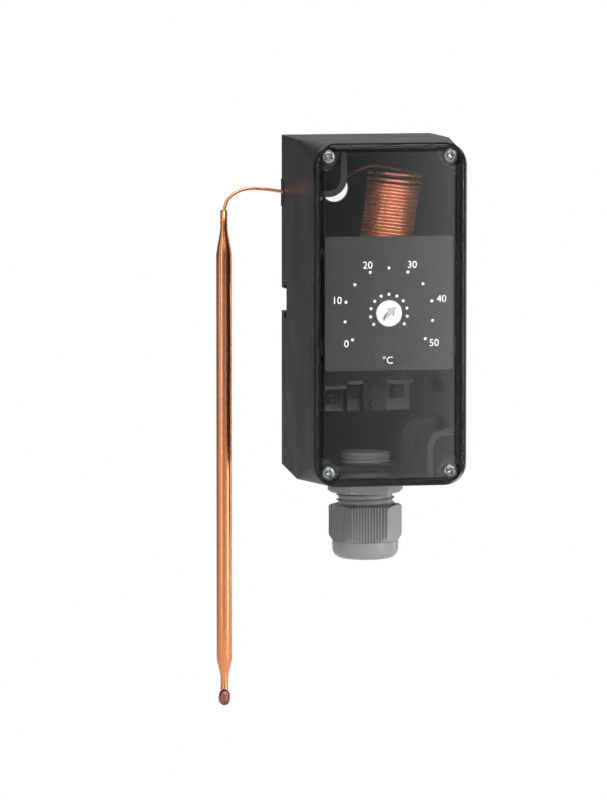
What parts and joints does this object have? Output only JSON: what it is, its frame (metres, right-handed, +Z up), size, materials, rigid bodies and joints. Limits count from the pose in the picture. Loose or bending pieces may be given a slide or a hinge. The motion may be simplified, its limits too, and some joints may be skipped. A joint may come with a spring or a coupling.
{
  "type": "capillary thermostat",
  "caption": "Wall-mounted capillary thermostat: black housing with clear screwed lid, scale plate with setting disc, cable gland, and a copper sensor bulb on a coiled capillary.",
  "frame": {"origin": "midway between the two diagonal wall-screw holes, in the plane of the wall", "axes": "+Z up, +Y into the wall, +X to the right seen from the front, so the clear lid faces -Y"},
  "size_m": [0.0858, 0.065, 0.2202],
  "materials": {
    "housing_plastic": "fine-grained black moulding",
    "clear_plastic": "clear polycarbonate, polished",
    "rubber_seal": "soft black rubber",
    "zinc_steel": "bright zinc plate",
    "scale_metal": "satin grey lacquer on sheet",
    "white_plastic": "off-white moulding",
    "brass": "turned brass",
    "sheet_steel": "zinc-plated sheet",
    "spring_steel": "drawn spring wire",
    "switch_plastic": "black thermoset moulding",
    "plunger_plastic": "red moulding",
    "black_steel": "blackened steel",
    "copper": "drawn copper, lightly tarnished",
    "grey_polyamide": "light grey polyamide"
  },
  "bodies": {
    "base": {"housing_base": "housing_plastic", "lid_gasket": "rubber_seal", "scale_plate": "scale_metal", "spindle_bush": "brass", "front_bridge": "sheet_steel", "mechanism_frame": "sheet_steel", "frame_screws": "zinc_steel", "diaphragm_capsule": "brass", "capsule_nut": "brass", "lever_pin": "zinc_steel", "range_spring": "spring_steel", "switch_body": "switch_plastic", "switch_cover": "switch_plastic", "switch_screws": "black_steel", "terminal_plates": "black_steel", "terminal_washers": "black_steel", "terminal_screws": "black_steel", "capillary_tube": "copper", "capillary_grommet": "rubber_seal", "sensor_bulb": "copper", "gland_body": "grey_polyamide", "gland_washer": "grey_polyamide"},
    "lid": {"clear_lid": "clear_plastic", "lid_screws": "zinc_steel"},
    "dial": {"setting_disc": "white_plastic", "setting_spindle": "brass"},
    "carriage": {"spring_carriage": "brass"},
    "lever": {"actuating_lever": "sheet_steel"},
    "button": {"capsule_button": "white_plastic"},
    "plunger": {"switch_plunger": "plunger_plastic"},
    "seal": {"gland_insert": "rubber_seal"},
    "nut": {"gland_nut": "grey_polyamide"}
  },
  "joints": [
    {"name": "lid_off", "type": "slide", "parent": "base", "child": "lid", "axis": [0, -1, 0], "range_m": [0, 0.03]},
    {"name": "setpoint_turn", "type": "hinge", "parent": "base", "child": "dial", "pos_m": [0, -0.0572, 0.0004], "axis": [0, 1, 0], "range_deg": [-172, 78]},
    {"name": "carriage_travel", "type": "slide", "parent": "base", "child": "carriage", "axis": [0, 1, 0], "range_m": [-0.00143, 0.00065], "deforming": ["range_spring"]},
    {"name": "lever_rock", "type": "hinge", "parent": "base", "child": "lever", "pos_m": [0, -0.0275, 0.016], "axis": [-1, 0, 0], "range_deg": [0, 1.5], "stiffness_Nm_per_rad": 0.02},
    {"name": "button_push", "type": "slide", "parent": "base", "child": "button", "axis": [0, -1, 0], "range_m": [0, 0.00042]},
    {"name": "plunger_press", "type": "slide", "parent": "base", "child": "plunger", "axis": [0, -1, 0], "range_m": [0, 0.0011]},
    {"name": "seal_travel", "type": "slide", "parent": "base", "child": "seal", "axis": [0, 0, 1], "range_m": [-0.00401, 0.00231]},
    {"name": "nut_turn", "type": "hinge", "parent": "seal", "child": "nut", "pos_m": [0, -0.017, -0.087], "axis": [0, 0, 1], "range_deg": [-960, 552]}
  ],
  "couplings": [
    {"joint": "setpoint_turn", "follows": "carriage_travel", "rad_per_m": 2094.4},
    {"joint": "button_push", "follows": "lever_rock", "m_per_rad": 0.0156},
    {"joint": "plunger_press", "follows": "lever_rock", "m_per_rad": 0.0405},
    {"joint": "seal_travel", "follows": "nut_turn", "m_per_rad": 0.00023873}
  ]
}
